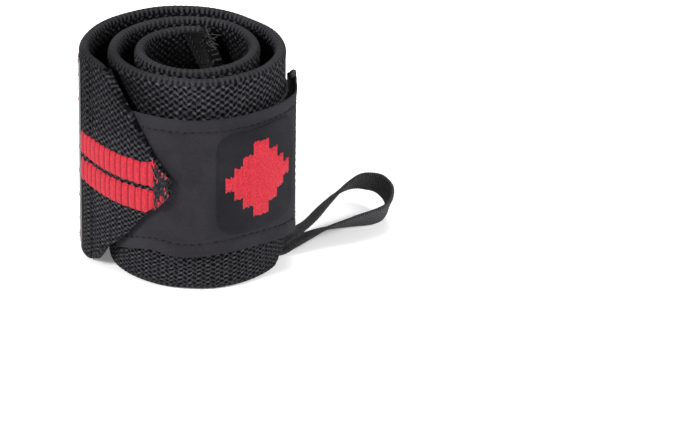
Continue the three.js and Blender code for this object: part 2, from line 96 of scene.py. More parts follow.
# turn angle, upper and lower edge of the corner folded behind the upper slope, then of the one
# behind the lower slope (shares of BAND_WIDTH)
FOLDS = np.array([
    [926, .985, .96, .13, .1], [932, .985, .9, .21, .14], [938, .938, .66, .4, .17],
    [944, .9, .53, .47, .205], [950, .853, .54, .46, .25], [961, .74, .56, .45, .352],
    [968, .66, .57, .452, .4], [973, .61, .58, .455, .433]])
# turn angle, darkness of the painted shadow that the tapered end casts on the roll beside and behind it
ROLL_SHADE = np.array([
    [530, 0], [545, .8], [563, 1], [579, .97], [590, .75], [600, .5], [611, .28], [622, .1], [632, 0]])


def smooth(table, a, column=1):
    """A column of a table at the angles a, on a smooth curve through its rows."""
    x, y = table[:, 0], table[:, column]
    a = np.clip(np.asarray(a, float), x[0], x[-1])
    m = np.empty_like(y)
    m[1:-1] = (y[2:] - y[:-2]) / (x[2:] - x[:-2])
    m[0] = (y[1] - y[0]) / (x[1] - x[0])
    m[-1] = (y[-1] - y[-2]) / (x[-1] - x[-2])
    i = np.clip(np.searchsorted(x, a, side="left") - 1, 0, len(x) - 2)
    h = x[i + 1] - x[i]
    t = (a - x[i]) / h
    return ((2 * t**3 - 3 * t * t + 1) * y[i] + (t**3 - 2 * t * t + t) * h * m[i]
            + (3 * t * t - 2 * t**3) * y[i + 1] + (t**3 - t * t) * h * m[i + 1])


def straight(table, a, column=1):
    """A column of a table at the angles a, on straight lines."""
    return np.interp(a, table[:, 0], table[:, column])


def ease(t):
    t = np.clip(t, 0, 1)
    return t * t * (3 - 2 * t)


def running(steps):
    """Distance covered after each of the steps, from 0."""
    return np.concatenate([[0], np.cumsum(steps)])


def turn_radius(a):
    """Outer face of the even part of the spiral."""
    return START_RADIUS + PITCH * np.asarray(a, float) / 360 + smooth(BULGE, a) * TURN_GAP


def under_tab(a):
    """Everything stacked between the turn below and the inner side of the tab."""
    return 2 * PIECE_GAP + PATCH_T + smooth(END_LAYERS, a, 1) * (HOOK_T + PIECE_GAP)


def band_radius(a):
    """Outer face of the band, the last part of which lies over the tab."""
    a = np.asarray(a, float)
    over = (turn_radius(a - 360) + under_tab(a) + TAB_T + PIECE_GAP
            + smooth(END_LAYERS, a, 2) * BAND_THICKNESS + smooth(END_LAYERS, a, 4) * TURN_GAP)
    k = ease((a - LAP_FROM) / LAP_RAMP)
    return turn_radius(a) * (1 - k) + over * k


def band_thickness(a):
    return smooth(END_LAYERS, a, 3) * BAND_THICKNESS


def tab_radius(a):
    return turn_radius(a) + under_tab(np.asarray(a) + 360) + straight(TAB_LIE, a) * TURN_GAP


def at(a, r, z):
    """Points in metres in the part's frame from turn angles in degrees, radii and heights in millimetres."""
    a, r, z = np.broadcast_arrays(np.radians(a), r, z)
    return np.stack([(r * np.cos(a) + AXIS[0]) / 1000, (r * np.sin(a) + AXIS[1]) / 1000, z / 1000], -1)


# turn angles, and the length along the band from its inner end to each
STEP = .25
ANGLES = np.arange(INNER_END, TIP + .01, STEP)
LENGTHS = running(np.radians(STEP) * (band_radius(ANGLES[:-1]) - band_thickness(ANGLES[:-1]) / 2))
BAND_LENGTH = float(LENGTHS[-1])


def run(a):
    return np.interp(a, ANGLES, LENGTHS)


def angle_at(length):
    return np.interp(length, LENGTHS, ANGLES)


def before_tip(length):
    """Turn angle at a length along the band before its tip."""
    return float(angle_at(BAND_LENGTH - length))


SLANT = OUTLINE[OUTLINE[:, 0] <= SLANT_END]


def slant_angle(z):
    """Turn angle of the slanted inner end at the height z."""
    return np.interp(z / BAND_WIDTH, SLANT[:, 1], SLANT[:, 0])


# the strap's root under the lower corner of the inner end, and the loop's heading
ROOT_R = float(turn_radius(INNER_END)) - BAND_THICKNESS / 2
ROOT = (ROOT_R * math.cos(math.radians(INNER_END)), ROOT_R * math.sin(math.radians(INNER_END)))
HEADING_X, HEADING_Y = math.cos(LOOP_HEADING), math.sin(LOOP_HEADING)


def notch(a):
    """How far the lower selvedge rides up over the strap."""
    # the doubled strap under the roll: its length, drift, widening, and what runs on behind its root
    doubled, drift = .44 * LOOP_REACH, -.035 * LOOP_OPENING
    spread, behind = .11 * LOOP_OPENING, .06 * LOOP_REACH
    clearance, ramp = .8, 5
    a = np.asarray(a, float)
    near = np.full(a.shape, 1e9)
    for share in (0, .5, 1):
        r = band_radius(a) - share * band_thickness(a)
        x, y = r * np.cos(np.radians(a)) - ROOT[0], r * np.sin(np.radians(a)) - ROOT[1]
        u, v = x * HEADING_X + y * HEADING_Y, y * HEADING_X - x * HEADING_Y
        share_along = np.clip(u / doubled, 0, 1)
        dv = np.maximum(0, np.abs(v - drift * share_along) - STRAP_WIDTH / 2 - spread * share_along)
        du = np.maximum(0, -behind - u)
        near = np.minimum(near, np.hypot(du, dv))
    return (2 * STRAP_T + 3 * PIECE_GAP) * ease(1 - (near - clearance) / ramp)


def wave(x, y, seed, scale):
    """Smooth unevenness from -1 to 1, the same in every run."""
    rng = np.random.default_rng(seed)
    waves, turn = 5, 6.28
    total = 0
    for _ in range(waves):
        k, phase, way = rng.uniform(.5, 1.6) / scale, rng.uniform(0, turn), rng.uniform(0, turn)
        total = total + np.sin((x * math.cos(way) + y * math.sin(way)) * k * turn + phase)
    return total / waves


def build(name, points, faces, material, attributes=None, replaces=()):
    """One piece from its points, in metres, and its faces; attributes holds a vector for each point."""
    mesh = bpy.data.meshes.new(name)
    mesh.from_pydata(np.asarray(points).reshape(-1, 3).tolist(), [], faces)
    mesh.validate()
    for key, values in (attributes or {}).items():
        at_points = mesh.attributes.new(key, "FLOAT_VECTOR", "POINT")
        at_points.data.foreach_set("vector", values.astype(np.float32).reshape(-1))
    mesh.polygons.foreach_set("use_smooth", [True] * len(mesh.polygons))
    mesh.materials.append(material)
    piece = bpy.data.objects.new(name, mesh)
    bpy.context.scene.collection.objects.link(piece)
    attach(piece, "root")
    if replaces:
        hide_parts(*replaces)
    return piece


def loops(n_loops, m, first=0, caps=True):
    """Faces of a body made of n_loops loops of m points, the first of which has the number first."""
    last = first + (n_loops - 1) * m
    faces = []
    for here in range(first, last, m):
        for j in range(m):
            k = (j + 1) % m
            faces.append((here + j, here + k, here + m + k, here + m + j))
    if caps:
        faces.append(tuple(range(first, first + m))[::-1])
        faces.append(tuple(range(last, last + m)))
    return faces


def threads(name, lines, radius, material, slot, sides=5):
    """Many short threads as one piece: each line is a row of points in metres."""
    points, faces = [], []
    for line in lines:
        line = np.asarray(line, float)
        tangent = np.gradient(line, axis=0)
        tangent /= np.linalg.norm(tangent, axis=1, keepdims=True) + 1e-12
        ref = np.array([0, 0, 1.0]) if abs(tangent[:, 2]).mean() < .7 else np.array([1.0, 0, 0])
        side = np.cross(tangent, ref)
        side /= np.linalg.norm(side, axis=1, keepdims=True) + 1e-12
        top = np.cross(side, tangent)
        faces += loops(len(line), sides, len(points))
        taper = np.ones(len(line))
        taper[[0, -1]] = .45
        for p, across, up, k in zip(line, side, top, taper):
            for q in range(sides):
                turn = 2 * math.pi * q / sides
                points.append(p + (across * math.cos(turn) + up * math.sin(turn)) * radius * k)
    return build(name, points, faces, material)


class Nodes:
    """A short way to write a material's nodes."""

    def __init__(self, name):
        self.mat = bpy.data.materials.new(name)
        self.mat.use_nodes = True
        self.tree = self.mat.node_tree
        self.shader = self.tree.nodes["Principled BSDF"]

    def new(self, kind, **values):
        node = self.tree.nodes.new(kind)
        for key, value in values.items():
            setattr(node, key, value)
        return node

    def link(self, a, b):
        self.tree.links.new(a, b)

    def put(self, socket, value):
        if isinstance(value, bpy.types.NodeSocket):
            self.link(value, socket)
        else:
            socket.default_value = value

    def math(self, op, a, b=None, c=None, clamp=False):
        node = self.new("ShaderNodeMath", operation=op, use_clamp=clamp)
        for socket, value in zip(node.inputs, (a, b, c)):
            if value is not None:
                self.put(socket, value)
        return node.outputs[0]

    def attribute(self, name):
        node = self.new("ShaderNodeAttribute", attribute_name=name)
        parts = self.new("ShaderNodeSeparateXYZ")
        self.link(node.outputs["Vector"], parts.inputs[0])
        return parts.outputs

    def position(self):
        return self.new("ShaderNodeNewGeometry").outputs["Position"]

    def wave(self, x, k=1.0, phase=0.0, op="COSINE"):
        """cos of 2 pi (k x + phase)."""
        return self.math(op, self.math("MULTIPLY_ADD", x, 2 * math.pi * k, 2 * math.pi * phase))

    def ramp(self, value, low, high, to_low=0.0, to_high=1.0):
        node = self.new("ShaderNodeMapRange", interpolation_type="SMOOTHSTEP", clamp=True)
        self.put(node.inputs["Value"], value)
        for key, v in (("From Min", low), ("From Max", high), ("To Min", to_low), ("To Max", to_high)):
            node.inputs[key].default_value = v
        return node.outputs["Result"]

    def noise(self, vector, scale, detail=2.0, rough=.5):
        node = self.new("ShaderNodeTexNoise")
        if vector is not None:
            self.link(vector, node.inputs["Vector"])
        node.inputs["Scale"].default_value = scale
        node.inputs["Detail"].default_value = detail
        node.inputs["Roughness"].default_value = rough
        return node.outputs["Fac"]

    def rgba(self, value):
        return value if isinstance(value, bpy.types.NodeSocket) else (*value, 1)

    def mix(self, factor, a, b):
        node = self.new("ShaderNodeMix", data_type="RGBA")
        self.put(node.inputs[0], factor)
        for socket, value in ((node.inputs[6], a), (node.inputs[7], b)):
            self.put(socket, self.rgba(value))
        return node.outputs[2]

    def colour(self, value):
        self.put(self.shader.inputs["Base Color"], self.rgba(value))

    def bump(self, height, distance, strength=1.0):
        node = self.new("ShaderNodeBump")
        node.inputs["Strength"].default_value = strength
        node.inputs["Distance"].default_value = distance
        self.link(height, node.inputs["Height"])
        self.link(node.outputs[0], self.shader.inputs["Normal"])

    def finish(self, roughness=.9, sheen=0.0, sheen_roughness=.5, specular=.05):
        self.shader.inputs["Specular IOR Level"].default_value = specular
        self.shader.inputs["Roughness"].default_value = roughness
        self.shader.inputs["Sheen Weight"].default_value = sheen
        self.shader.inputs["Sheen Roughness"].default_value = sheen_roughness
        return self.mat


def knit_material():
    """Open knit: short yarn tufts and dark gaps in staggered columns, upright loops along the selvedges.

    weave holds the columns and the rows of the knit; zone holds the nearness to a selvedge, 1 on the
    outer face, and the painted shade of the place."""
    n = Nodes("knit_elastic")
    u, v, _ = n.attribute("weave")
    edge, outer, painted_shade = n.attribute("zone")
    where = n.position()
    column = n.math("ADD", u, n.math("MULTIPLY_ADD", n.noise(where, 380, 3), .5, -.25))
    row = n.math("ADD", v, n.math("MULTIPLY_ADD", n.noise(where, 337, 3), .94, -.47))
    row = n.math("ADD", row, n.math("MULTIPLY", n.wave(column, 1, 0, "SINE"), .1))
    fuzz = n.noise(where, 1700, 3, .6)
    each = n.noise(where, 520, 1)
    rough = n.math("MULTIPLY_ADD", fuzz, .5, -.25)
    cell = n.math("ADD", n.math("MULTIPLY", n.wave(column), n.wave(row)), rough)
    # the gaps are the knit's openings, near black partly as painted shade inside them; on the inner faces
    # (outer low) they open wider, painted shade in the roll's hollow
    gap = n.ramp(n.math("ADD", cell, n.math("MULTIPLY_ADD", outer, -.26, .26)), -.02, .34)
    gap = n.math("MULTIPLY", gap, n.ramp(n.noise(where, 430, 1), .3, .5, .8, 1))
    # the tufts are lighter partly as painted highlight on the yarn's crowns
    tuft = n.math("MULTIPLY", n.ramp(cell, -.14, -.8), n.ramp(each, .36, .62, .1, .9))
    # dark lines between the columns low on the band, where it is least stretched
    line = n.math("MULTIPLY", n.ramp(n.wave(column), .55, .95), n.ramp(v, 22, 9, 0, .5))
    gap = n.math("MAXIMUM", gap, line)
    # the loops of the selvedge
    strand = n.math("ADD", n.wave(column, LOOPS_PER_COLUMN, .25), rough)
    dip = n.ramp(strand, .1, -.5)
    crest = n.ramp(edge, .8, .95)
    near = n.ramp(edge, .55, .7)
    far = n.math("SUBTRACT", 1.0, near)
    under = n.math("MULTIPLY", near, n.math("SUBTRACT", 1.0, crest))
    loop = n.math("MULTIPLY", n.ramp(strand, -.4, .9, .14, .3), n.math("MULTIPLY", near, .62))
    light = n.math("ADD", n.math("MULTIPLY", tuft, far), loop, clamp=True)
    opened = n.math("MULTIPLY", dip, n.ramp(n.noise(where, 55, 1), .38, .62, .6, 1))
    wedge = n.math("ADD", under, n.math("MULTIPLY", crest, n.ramp(outer, .8, .1, .06, .4)))
    dark = n.math("ADD", n.math("MULTIPLY", gap, far), n.math("MULTIPLY", opened, wedge), clamp=True)
    # light and dark patches, then the loops, the fuzz, the gaps and the painted shade of the place
    base = n.mix(n.ramp(n.noise(where, 70, 2), .35, .7), (.0185, .018, .021), (.028, .027, .0315))
    base = n.mix(n.ramp(v, 22, 9, 0, .25), base, (.045, .044, .049))
    base = n.mix(n.math("MULTIPLY", near, .36), base, (.006, .006, .007))
    base = n.mix(light, base, (.08, .078, .084))
    base = n.mix(n.math("MULTIPLY", n.ramp(fuzz, .45, .75), .3), base, (.055, .055, .06))
    base = n.mix(n.math("MULTIPLY", dark, .97), base, (.0012, .0012, .0016))
    n.colour(n.mix(n.math("MULTIPLY", painted_shade, .9), base, (.0018, .0018, .0022)))
    height = n.math("SUBTRACT", n.math("MULTIPLY", light, .7), dark)
    n.bump(n.math("ADD", height, n.math("MULTIPLY", fuzz, .2)), .0007)
    return n.finish(.95, .015, .4, .03)


def cloth_material(name, low, high, thread=.45, bump=.00012, sheen=.04, roughness=.85, specular=.08):
    """Close, smooth weave: fine threads both ways and a little cloudiness."""
    n = Nodes(name)
    u, v, _ = n.attribute("weave")
    where = n.position()
    warp, weft = n.wave(u, 1 / thread), n.wave(v, 1 / thread)
    weave = n.math("MULTIPLY", warp, weft)
    cloud = n.noise(where, 90, 3)
    grain = n.noise(where, 1900, 2)
    mix = n.math("ADD", n.math("MULTIPLY", cloud, .6), n.math("MULTIPLY", grain, .4))
    base = n.mix(n.ramp(mix, .32, .68), low, high)
    n.colour(n.mix(n.ramp(weave, .2, 1.0, 0, .25), base, (.01, .01, .012)))
    n.bump(n.math("ADD", weave, n.math("MULTIPLY", grain, .8)), bump)
    return n.finish(roughness, sheen, .4, specular)


def strap_material():
    """Webbing with fine cross ribs."""
    n = Nodes("strap_webbing")
    u, v, _ = n.attribute("weave")
    where = n.position()
    ribs = n.wave(u, 1 / .7)
    rows = n.wave(n.math("ADD", v, n.math("MULTIPLY", u, .5)), 1 / 1.1)
    grain = n.noise(where, 1300, 3)
    base = n.mix(n.ramp(grain, .3, .7), (.032, .032, .035), (.063, .063, .068))
    n.colour(n.mix(n.ramp(ribs, .0, -1.0, 0, .5), base, (.012, .012, .013)))
    relief = n.math("ADD", ribs, n.math("MULTIPLY", rows, .4))
    n.bump(n.math("ADD", relief, n.math("MULTIPLY", grain, .6)), .00022)
    return n.finish(.85, .12, .4)


def pile_material():
    """Looped pile: short tangled fibres."""
    n = Nodes("loop_pile")
    where = n.position()
    fibre = n.noise(where, 900, 4, .7)
    tuft = n.noise(where, 300, 2)
    n.colour(n.mix(n.ramp(fibre, .35, .7), (.006, .006, .007), (.035, .035, .038)))
    n.bump(n.math("ADD", fibre, tuft), .0006)
    return n.finish(.95, .14, .5)


def red_material():
    """Ribbed red stripe: soft filament yarn lying up and down each rib."""
    n = Nodes("red_stripe")
    _, v, rib = n.attribute("weave")
    where = n.position()
    groove = n.ramp(rib, .0, .62)
    grain = n.noise(where, 1400, 3)
    threads = n.wave(v, 1 / .55)
    base = n.mix(n.ramp(grain, .3, .7), (.435, .0235, .0375), (.55, .035, .052))
    base = n.mix(n.ramp(threads, 0, -1, 0, .25), base, (.34, .015, .026))
    n.colour(n.mix(groove, (.17, .007, .015), base))
    n.bump(n.math("ADD", n.math("MULTIPLY", threads, .6), grain), .00018)
    return n.finish(.8, .04, .4)


def thread_material(name, low, high):
    """Sewing thread, a little uneven in tone."""
    n = Nodes(name)
    where = n.position()
    n.colour(n.mix(n.ramp(n.noise(where, 1600, 2), .35, .65), low, high))
    n.bump(n.noise(where, 2600, 2), .0001)
    return n.finish(.7, .1, .4)


KNIT = knit_material()
TAB_CLOTH = cloth_material("tab_cloth", (.0168, .0157, .0198), (.0288, .027, .0332))
EMBLEM_CLOTH = cloth_material("emblem_ground", (.0085, .0085, .0112), (.016, .016, .02), .6)
LABEL_CLOTH = cloth_material("label_weave", (.006, .006, .007), (.014, .014, .016), .5, .0001, .3, .5, .3)
# binding tape: near black, its own dark colour darkened further as painted shade over the inner end
BINDING_CLOTH = cloth_material("binding_tape", (.0014, .0014, .0017), (.0045, .0045, .0054), .7, .0002)
# hook tape: near black, its own dark colour darkened further as painted shade of the gap between the tab and
# the roll
HOOK = cloth_material("hook_tape", (.002, .002, .0024), (.008, .008, .009), .9, .0006, 0, .8, .03)
# the tab's cloth again, made lighter: painted light where the turned end of the tab catches the light
PAINTED_LIT_HEM_CLOTH = cloth_material("tab_end_cloth_painted_lit", (.034, .033, .037), (.062, .06, .065))
STRAP_CLOTH = strap_material()
PILE = pile_material()
RED = red_material()
RED_THREAD = thread_material("red_thread", (.43, .024, .039), (.57, .039, .057))
DARK_RED_THREAD = thread_material("dark_red_thread", (.2, .015, .025), (.4, .03, .045))
SEAM_THREAD = thread_material("seam_thread", (.008, .0078, .0095), (.03, .029, .034))
RUNG_THREAD = thread_material("rung_thread", (.02, .02, .022), (.05, .049, .053))
FRAY_THREAD = thread_material("fray_thread", (.022, .022, .024), (.06, .059, .064))
HEM_THREAD = thread_material("hem_thread", (.003, .003, .0038), (.012, .0118, .014))
BLACK_THREAD = thread_material("black_thread", (.008, .008, .01), (.03, .03, .034))


def around(rows, rim):
    """Places round a sheet's section: up the outer face, over the top, down the inner face, under."""
    up = [k / rows for k in range(rows + 1)]
    bend = [k / rim for k in range(1, rim)]
    return ([("o", k) for k in up] + [("t", k) for k in bend] + [("i", k) for k in up[::-1]]
            + [("b", k) for k in bend[::-1]])


def along(a, r):
    """Length of a sheet wound at the radius r, up to each of the angles a."""
    return running(np.radians(np.diff(a)) * (r[1:] + r[:-1]) / 2)


def row_phase(z):
    """Rows of the knit up to height z: closer together near the lower selvedge, stretched higher up."""
    over = np.maximum(z - 8, 0)
    return z / KNIT_ROW - .0032 * over ** 2 * (1 - .35 * np.clip(over / 68, 0, 1))


def shade(a, z, crease):
    """Painted shade on the band's outer face: in the crease, on the tapered end, and the shadow of the
    tapered end on the roll beside it.
    """
    tip_shade = .42 * ease((a - 900) / 9) * ease((974 - a) / 14) * ease((z - 46) / 12)
    roll_shade = straight(ROLL_SHADE, a) * ease((z - 54) / 7) * (1 - .6 * ease((z - 71) / 3.5))
    return np.maximum(np.maximum(.75 * crease, tip_shade), roll_shade)


def band():
    """The knitted band: faces a little uneven, selvedges puffed and scalloped by their loops."""
    step = .46
    lengths = np.linspace(0, BAND_LENGTH, int(BAND_LENGTH / step) + 1)
    a = angle_at(lengths)
    r, t = band_radius(a), band_thickness(a)
    flat = 0 * lengths
    # slight unevenness of the selvedges, which ends before the slopes
    whole = ease((a + 40) / 80) * ease((925 - a) / 20)
    upper = BAND_WIDTH * straight(OUTLINE, a, 1) + (.1 + .3 * wave(lengths, flat, 3, 23)) * whole
    lower = np.maximum(BAND_WIDTH * straight(OUTLINE, a, 2), notch(a))
    lower = lower + np.where(notch(a) < .05, (.15 + .15 * wave(lengths, flat, 4, 21)) * whole, 0)
    columns = lengths / KNIT_COLUMN
    # the crests of the selvedge's loops
    loop = np.cos(2 * np.pi * (LOOPS_PER_COLUMN * columns + .25 + .08 * wave(lengths, flat, 9, 6)))
    scallop = (.045 * loop - .03) * whole
    crease = np.exp(-((a - CREASE) / 1.0) ** 2)
    section = around(30, 8)
    points, weave, zone = (np.zeros((len(a), len(section), 3)) for _ in range(3))
    half = t / 2
    reach = np.minimum(half * 1.15, .45 * (upper - lower))
    for j, (side, k) in enumerate(section):
        if side in "oi":
            z = lower + reach + (upper - lower - 2 * reach) * k
            radius = r if side == "o" else r - t
        else:
            turn = math.pi * k
            bow = np.sign(math.cos(turn)) * abs(math.cos(turn)) ** .8
            radius = r - half + (half + scallop) * bow
            rise = (reach + scallop) * math.sin(turn) ** .8
            z = (upper - reach + rise) if side == "t" else (lower + reach - np.minimum(rise, reach))
        near_edge = np.minimum(upper - z, z - lower)
        if side in "oi":
            # puffed selvedge, and the faces a little uneven
            puff = .18 * np.exp(-((near_edge - 1.8) / 1.6) ** 2)
            uneven = (puff + .12 * wave(lengths, z, 7, 31) - .1) * np.minimum(1, t / 3)
            radius = radius + (uneven if side == "o" else -uneven)
        if side == "o":
            radius = radius + .28 * np.exp(-((a - SWELL) / 3.2) ** 2) - .5 * crease
        points[:, j] = at(a, radius, z)
        edge = np.clip(1 - near_edge / 4.4, 0, 1) * ease((936 - a) / 9)
        # painted shade: on the inner face darker further below the upper edge, in the roll's hollow; on the
        # outer face from shade()
        dark = .25 + np.clip((upper - z - 1) / 9, 0, 1) * .7 if side == "i" else shade(a, z, crease)
        outer = {"t": 1 - k, "i": 0}.get(side, 1)
        weave[:, j] = np.stack([columns, row_phase(z), wave(lengths, z, 5, 18)], -1)
        zone[:, j] = np.stack([edge, np.full(len(a), outer), dark], -1)
    faces = loops(len(a), len(section))
    attributes = {"weave": weave, "zone": zone}
    return build("knitted_band", points, faces, KNIT, attributes, ("elastic_band",))


knitted_band = band()


def thin_section(side, k, inner, outer, lower, upper, c):
    """Radius and height of one place round a thin sheet whose long edges are rounded by c."""
    if side in "oi":
        return outer if side == "o" else inner, lower + c + (upper - lower - 2 * c) * k
    radius = (outer + inner) / 2 + (outer - inner) / 2 * math.cos(math.pi * k)
    rise = c * math.sin(math.pi * k)
    return radius, upper - c + rise if side == "t" else lower + c - rise


def wound_sheet(name, a, sides, material, rows, replaces=(), rounding=.25, lift=None):
    """A thin sheet over the angles a, closed all round; sides holds its inner and outer radius and
    its lower and upper edge, and lift(a, z, length) moves its faces outward."""
    sides = [np.broadcast_to(np.asarray(x, float), a.shape) for x in sides]
    section = around(rows, 4)
    points, weave = (np.zeros((len(a), len(section), 3)) for _ in range(2))
    length = along(a, sides[1])
    c = np.minimum(rounding, (sides[1] - sides[0]) / 2)
    for j, (side, k) in enumerate(section):
        radius, z = thin_section(side, k, *sides, c)
        if lift:
            radius = radius + lift(a, z, length)
        points[:, j] = at(a, radius, z)
        weave[:, j] = np.stack([length, z, 0 * z], -1)
    return build(name, points, loops(len(a), len(section)), material, {"weave": weave}, replaces)


def spaced(start, stop, mm, radius=32.0):
    """Turn angles about mm apart on the radius."""
    n = max(2, int(round(math.radians(stop - start) * radius / mm)) + 1)
    return np.linspace(start, stop, n)


patch_end = before_tip(PATCH_FROM_TIP)
patch_start = before_tip(PATCH_FROM_TIP + PATCH_LENGTH)
patch_angles = spaced(patch_start, patch_end, 1.5)
patch_base = turn_radius(patch_angles)
patch_sides = (patch_base + .1, patch_base + PIECE_GAP + PATCH_T,
               MIDDLE - PATCH_HEIGHT / 2, MIDDLE + PATCH_HEIGHT / 2)
soft_patch = wound_sheet(
    "soft_patch", patch_angles, patch_sides, PILE, 30, ("loop_patch",), .4,
    lambda a, z, length: .1 * wave(length, z, 11, 4))

tab_angles = spaced(TAB_ROOT, TAB_END, 1.0)
tab_corner = np.clip((TAB_END - tab_angles) / 1.2, 0, 1)
tab_round = (1 - np.sqrt(tab_corner * (2 - tab_corner))) * .7
tab_low = MIDDLE + TAB_HEIGHT * (smooth(TAB_LIE, tab_angles, 3) - .5) + tab_round
tab_high = MIDDLE + TAB_HEIGHT * (smooth(TAB_LIE, tab_angles, 2) + .5) - tab_round


def tab_lift(a, z, length):
    """The tab's hems stand a little, and the cloth between them dips."""
    low = np.interp(a, tab_angles, tab_low)
    high = np.interp(a, tab_angles, tab_high)
    edge = np.minimum(high - z, z - low)
    hem = .28 * np.exp(-(edge / 2.2) ** 2) - .42 * np.exp(-((edge - 4.5) / .5) ** 2)
    return (hem + .12 * wave(length, z, 21, 25)) * ease((a - 600) / 20)


tab_sides = (tab_radius(tab_angles) + .1, tab_radius(tab_angles) + TAB_T, tab_low, tab_high)
closing = wound_sheet(
    "closing_tab_cloth", tab_angles, tab_sides, TAB_CLOTH, 80, ("closing_tab",), .4, tab_lift)


def tab_face(a):
    return tab_radius(a) + TAB_T


def hem_stitches():
    """A row of lockstitch along each of the tab's long hems and one across its end."""
    lines = []
    rng = np.random.default_rng(12)
    stitch, from_edge, from_end = math.degrees(1.9 / 36), 4.6, 7.5
    q = np.linspace(0, 1, 5)
    for side, edge_line in ((1, tab_high), (-1, tab_low)):
        a = TAB_ROOT + 1.0
        while a < TAB_END - 7:
            z = np.interp(a, tab_angles, edge_line) - side * (from_edge + .08 * rng.normal())
            face = tab_face(a + stitch * q) - .3 * ease((a - 600) / 20)
            lines.append(at(a + stitch * q, face + .3 * np.sin(np.pi * q), z))
            a += stitch * 1.5
    a = TAB_END - from_end
    for z in np.arange(MIDDLE - 19.0, MIDDLE + 18, 2.6):
        lines.append(at(a, tab_face(a) + .05 + .22 * np.sin(np.pi * q), z + 2.0 * q))
    threads("tab_stitches", lines, .00021, HEM_THREAD, "tab_cloth")


hem_stitches()
hook_angles = spaced(TAB_ROOT + 42, TAB_END - 3, 1.5)
# toward the loose end the hook side thickens, so that no light shows between it and the roll: near black, it
# stands for the shade in that gap
hook_back = .7 * straight(TAB_LIE, hook_angles) * TURN_GAP * ease((hook_angles - 690) / 15)
hook_sides = (tab_radius(hook_angles) - PIECE_GAP - HOOK_T - hook_back, tab_radius(hook_angles) + .15,
              MIDDLE - HOOK_HEIGHT / 2, MIDDLE + HOOK_HEIGHT / 2 + .35 * ease((hook_angles - 700) / 15))
hook_side = wound_sheet("hook_side", hook_angles, hook_sides, HOOK, 20, ("hook_pad",))

label_end = before_tip(LABEL_FROM_TIP)
label_start = before_tip(LABEL_FROM_TIP + LABEL_WIDTH)
label_angles = spaced(label_start, label_end, .8)
label_sides = (band_radius(label_angles) - .05, band_radius(label_angles) + .32,
               (BAND_WIDTH - LABEL_HEIGHT) / 2, (BAND_WIDTH + LABEL_HEIGHT) / 2)
label_cloth = wound_sheet(
    "woven_label_cloth", label_angles, label_sides, LABEL_CLOTH, 40, ("woven_label",), .15)


def label_threads():
    """Two stitched lines across each end of the label, and a plain row of lozenges between them."""
    lines = []
    rng = np.random.default_rng(8)
    face_radius = 37.5

    def stitch(from_start, z, stand):
        a = label_start + np.degrees(from_start / face_radius)
        lines.append(at(a, band_radius(a) + .31 + stand, z))

    q = np.linspace(0, 1, 4)
    for z in (5.2, 6.4, 69.6, 70.8):
        for x in np.arange(1.6, 15.2, 1.8):
            stitch(x + 1.5 * q, z + .1 * rng.normal(), .1 * np.sin(np.pi * q))
    middle = math.radians(label_end - label_start) / 2 * face_radius
    q = np.linspace(-1, 1, 4)
    lozenges, half_width, half_height = 7, 4.05, 3.3
    for k in range(lozenges):
        for x in np.arange(-half_width, half_width + .01, .45):
            stitch(middle + x, 11.5 + k * 8.8 + half_height * (1 - abs(x) / 4.6) * q, -.1 * q * q)
    threads("label_threads", lines, .0002, DARK_RED_THREAD, "label_weave", 4)


label_threads()

emblem_middle = TAB_ROOT + (TAB_END - TAB_ROOT) * .6
emblem_half = math.degrees(EMBLEM_WIDTH / float(tab_face(emblem_middle))) / 2
emblem_angles = np.linspace(emblem_middle - emblem_half, emblem_middle + emblem_half, 60)
inside = np.clip((emblem_half - np.abs(emblem_angles - emblem_middle)) / (.44 * emblem_half), 0, 1)
corner = (1 - np.sqrt(inside * (2 - inside))) * .16 * EMBLEM_HEIGHT
emblem_height = MIDDLE + EMBLEM_HEIGHT * .03
emblem_sides = (tab_face(emblem_angles) - .1, tab_face(emblem_angles) + .3,
                emblem_height - EMBLEM_HEIGHT / 2 + corner, emblem_height + EMBLEM_HEIGHT / 2 - corner)
emblem_ground = wound_sheet(
    "emblem_ground_cloth", emblem_angles, emblem_sides, EMBLEM_CLOTH, 30,
    ("emblem_patch",), .15)

# the hem folded over the tab's end, in the lighter cloth that is painted light
hem_angles = np.linspace(727, TAB_END + .4, 24)
hem_sides = (tab_radius(hem_angles) - .95, tab_face(hem_angles) + .12,
             np.interp(hem_angles, tab_angles, tab_low) + .1,
             np.interp(hem_angles, tab_angles, tab_high) + .25)
wound_sheet("tab_end_hem", hem_angles, hem_sides, PAINTED_LIT_HEM_CLOTH, 60, rounding=.6,
            lift=lambda a, z, length: .1 * wave(length, z, 77, 9))


def motif():
    """A stepped lozenge of satin threads, each column of thread its own narrow raised bar."""
    width, height, n_threads = 27.0, 26.0, 60
    # the columns: where each begins along the width, and its lower and upper ends
    steps = np.array([(0, .42, .58), (.12, .3, .7), (.24, .16, .84), (.38, 0, 1),
                      (.62, .16, .84), (.76, .3, .7), (.88, .42, .58)])
    bar = ((-.52, -.25), (-.5, .05), (-.25, .26), (.25, .26), (.5, .05), (.52, -.25))
    half = math.degrees(width / float(tab_face(emblem_middle))) / 2
    bar_width = half * 2 / n_threads
    rng = np.random.default_rng(5)
    points, faces = [], []
    for i in range(n_threads):
        _, low, high = steps[steps[:, 0] <= (i + .5) / n_threads][-1]
        centre = emblem_middle - half + bar_width * (i + .5)
        z0 = emblem_height - height / 2 + height * low - rng.uniform(0, .8)
        z1 = emblem_height - height / 2 + height * high + rng.uniform(0, .8)
        count = max(3, int((z1 - z0) / 2.4) + 1)
        faces += loops(count, len(bar), len(points))
        for z in np.linspace(z0, z1, count) + .12 * math.sin(i * 1.7):
            for q, up in bar:
                angle = centre + q * bar_width
                points.append(at(angle, tab_face(angle) + .3 + up, z))
    build("emblem_threads", points, faces, RED_THREAD, replaces=("emblem_motif",))


motif()


